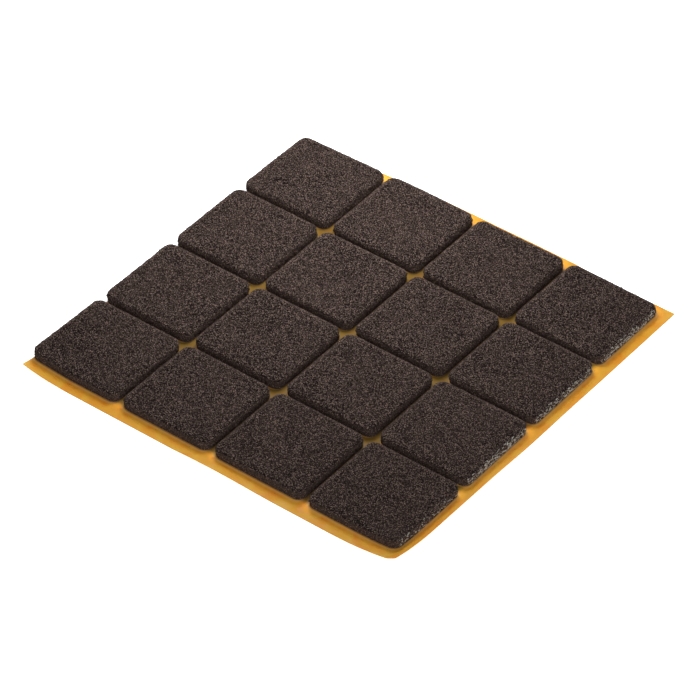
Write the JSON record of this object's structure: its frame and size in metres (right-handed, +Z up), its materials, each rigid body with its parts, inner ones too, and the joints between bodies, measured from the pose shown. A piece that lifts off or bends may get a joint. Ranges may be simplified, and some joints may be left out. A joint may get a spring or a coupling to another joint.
{
  "type": "felt furniture glide sheet",
  "caption": "Square self-adhesive felt furniture glides with rounded corners, kiss-cut in a grid on an amber release liner with curled corners; each pad peels off to stick under a leg.",
  "frame": {"origin": "under the middle of the whole sheet, on the liner's flat underside", "axes": "+Z up out of the pads' glide faces, +X to the right along a row of pads, +Y towards the back row"},
  "size_m": [0.1212, 0.1246, 0.0031],
  "materials": {
    "felt": "dark brown needled felt, matt and pebbled",
    "adhesive": "honey-coloured tacky film, faintly glossy",
    "liner_paper": "amber silicone-coated glassine, satin"
  },
  "bodies": {
    "liner": {"release_liner": "liner_paper"},
    "pad_a1": {"felt_pad_a1": "felt", "adhesive_film_a1": "adhesive"},
    "pad_a2": {"felt_pad_a2": "felt", "adhesive_film_a2": "adhesive"},
    "pad_a3": {"felt_pad_a3": "felt", "adhesive_film_a3": "adhesive"},
    "pad_a4": {"felt_pad_a4": "felt", "adhesive_film_a4": "adhesive"},
    "pad_b1": {"felt_pad_b1": "felt", "adhesive_film_b1": "adhesive"},
    "pad_b2": {"felt_pad_b2": "felt", "adhesive_film_b2": "adhesive"},
    "pad_b3": {"felt_pad_b3": "felt", "adhesive_film_b3": "adhesive"},
    "pad_b4": {"felt_pad_b4": "felt", "adhesive_film_b4": "adhesive"},
    "pad_c1": {"felt_pad_c1": "felt", "adhesive_film_c1": "adhesive"},
    "pad_c2": {"felt_pad_c2": "felt", "adhesive_film_c2": "adhesive"},
    "pad_c3": {"felt_pad_c3": "felt", "adhesive_film_c3": "adhesive"},
    "pad_c4": {"felt_pad_c4": "felt", "adhesive_film_c4": "adhesive"},
    "pad_d1": {"felt_pad_d1": "felt", "adhesive_film_d1": "adhesive"},
    "pad_d2": {"felt_pad_d2": "felt", "adhesive_film_d2": "adhesive"},
    "pad_d3": {"felt_pad_d3": "felt", "adhesive_film_d3": "adhesive"},
    "pad_d4": {"felt_pad_d4": "felt", "adhesive_film_d4": "adhesive"}
  },
  "joints": [
    {"name": "peel_a1", "type": "slide", "parent": "liner", "child": "pad_a1", "axis": [0, 0, 1], "range_m": [0, 0.03]},
    {"name": "peel_a2", "type": "slide", "parent": "liner", "child": "pad_a2", "axis": [0, 0, 1], "range_m": [0, 0.03]},
    {"name": "peel_a3", "type": "slide", "parent": "liner", "child": "pad_a3", "axis": [0, 0, 1], "range_m": [0, 0.03]},
    {"name": "peel_a4", "type": "slide", "parent": "liner", "child": "pad_a4", "axis": [0, 0, 1], "range_m": [0, 0.03]},
    {"name": "peel_b1", "type": "slide", "parent": "liner", "child": "pad_b1", "axis": [0, 0, 1], "range_m": [0, 0.03]},
    {"name": "peel_b2", "type": "slide", "parent": "liner", "child": "pad_b2", "axis": [0, 0, 1], "range_m": [0, 0.03]},
    {"name": "peel_b3", "type": "slide", "parent": "liner", "child": "pad_b3", "axis": [0, 0, 1], "range_m": [0, 0.03]},
    {"name": "peel_b4", "type": "slide", "parent": "liner", "child": "pad_b4", "axis": [0, 0, 1], "range_m": [0, 0.03]},
    {"name": "peel_c1", "type": "slide", "parent": "liner", "child": "pad_c1", "axis": [0, 0, 1], "range_m": [0, 0.03]},
    {"name": "peel_c2", "type": "slide", "parent": "liner", "child": "pad_c2", "axis": [0, 0, 1], "range_m": [0, 0.03]},
    {"name": "peel_c3", "type": "slide", "parent": "liner", "child": "pad_c3", "axis": [0, 0, 1], "range_m": [0, 0.03]},
    {"name": "peel_c4", "type": "slide", "parent": "liner", "child": "pad_c4", "axis": [0, 0, 1], "range_m": [0, 0.03]},
    {"name": "peel_d1", "type": "slide", "parent": "liner", "child": "pad_d1", "axis": [0, 0, 1], "range_m": [0, 0.03]},
    {"name": "peel_d2", "type": "slide", "parent": "liner", "child": "pad_d2", "axis": [0, 0, 1], "range_m": [0, 0.03]},
    {"name": "peel_d3", "type": "slide", "parent": "liner", "child": "pad_d3", "axis": [0, 0, 1], "range_m": [0, 0.03]},
    {"name": "peel_d4", "type": "slide", "parent": "liner", "child": "pad_d4", "axis": [0, 0, 1], "range_m": [0, 0.03]}
  ]
}
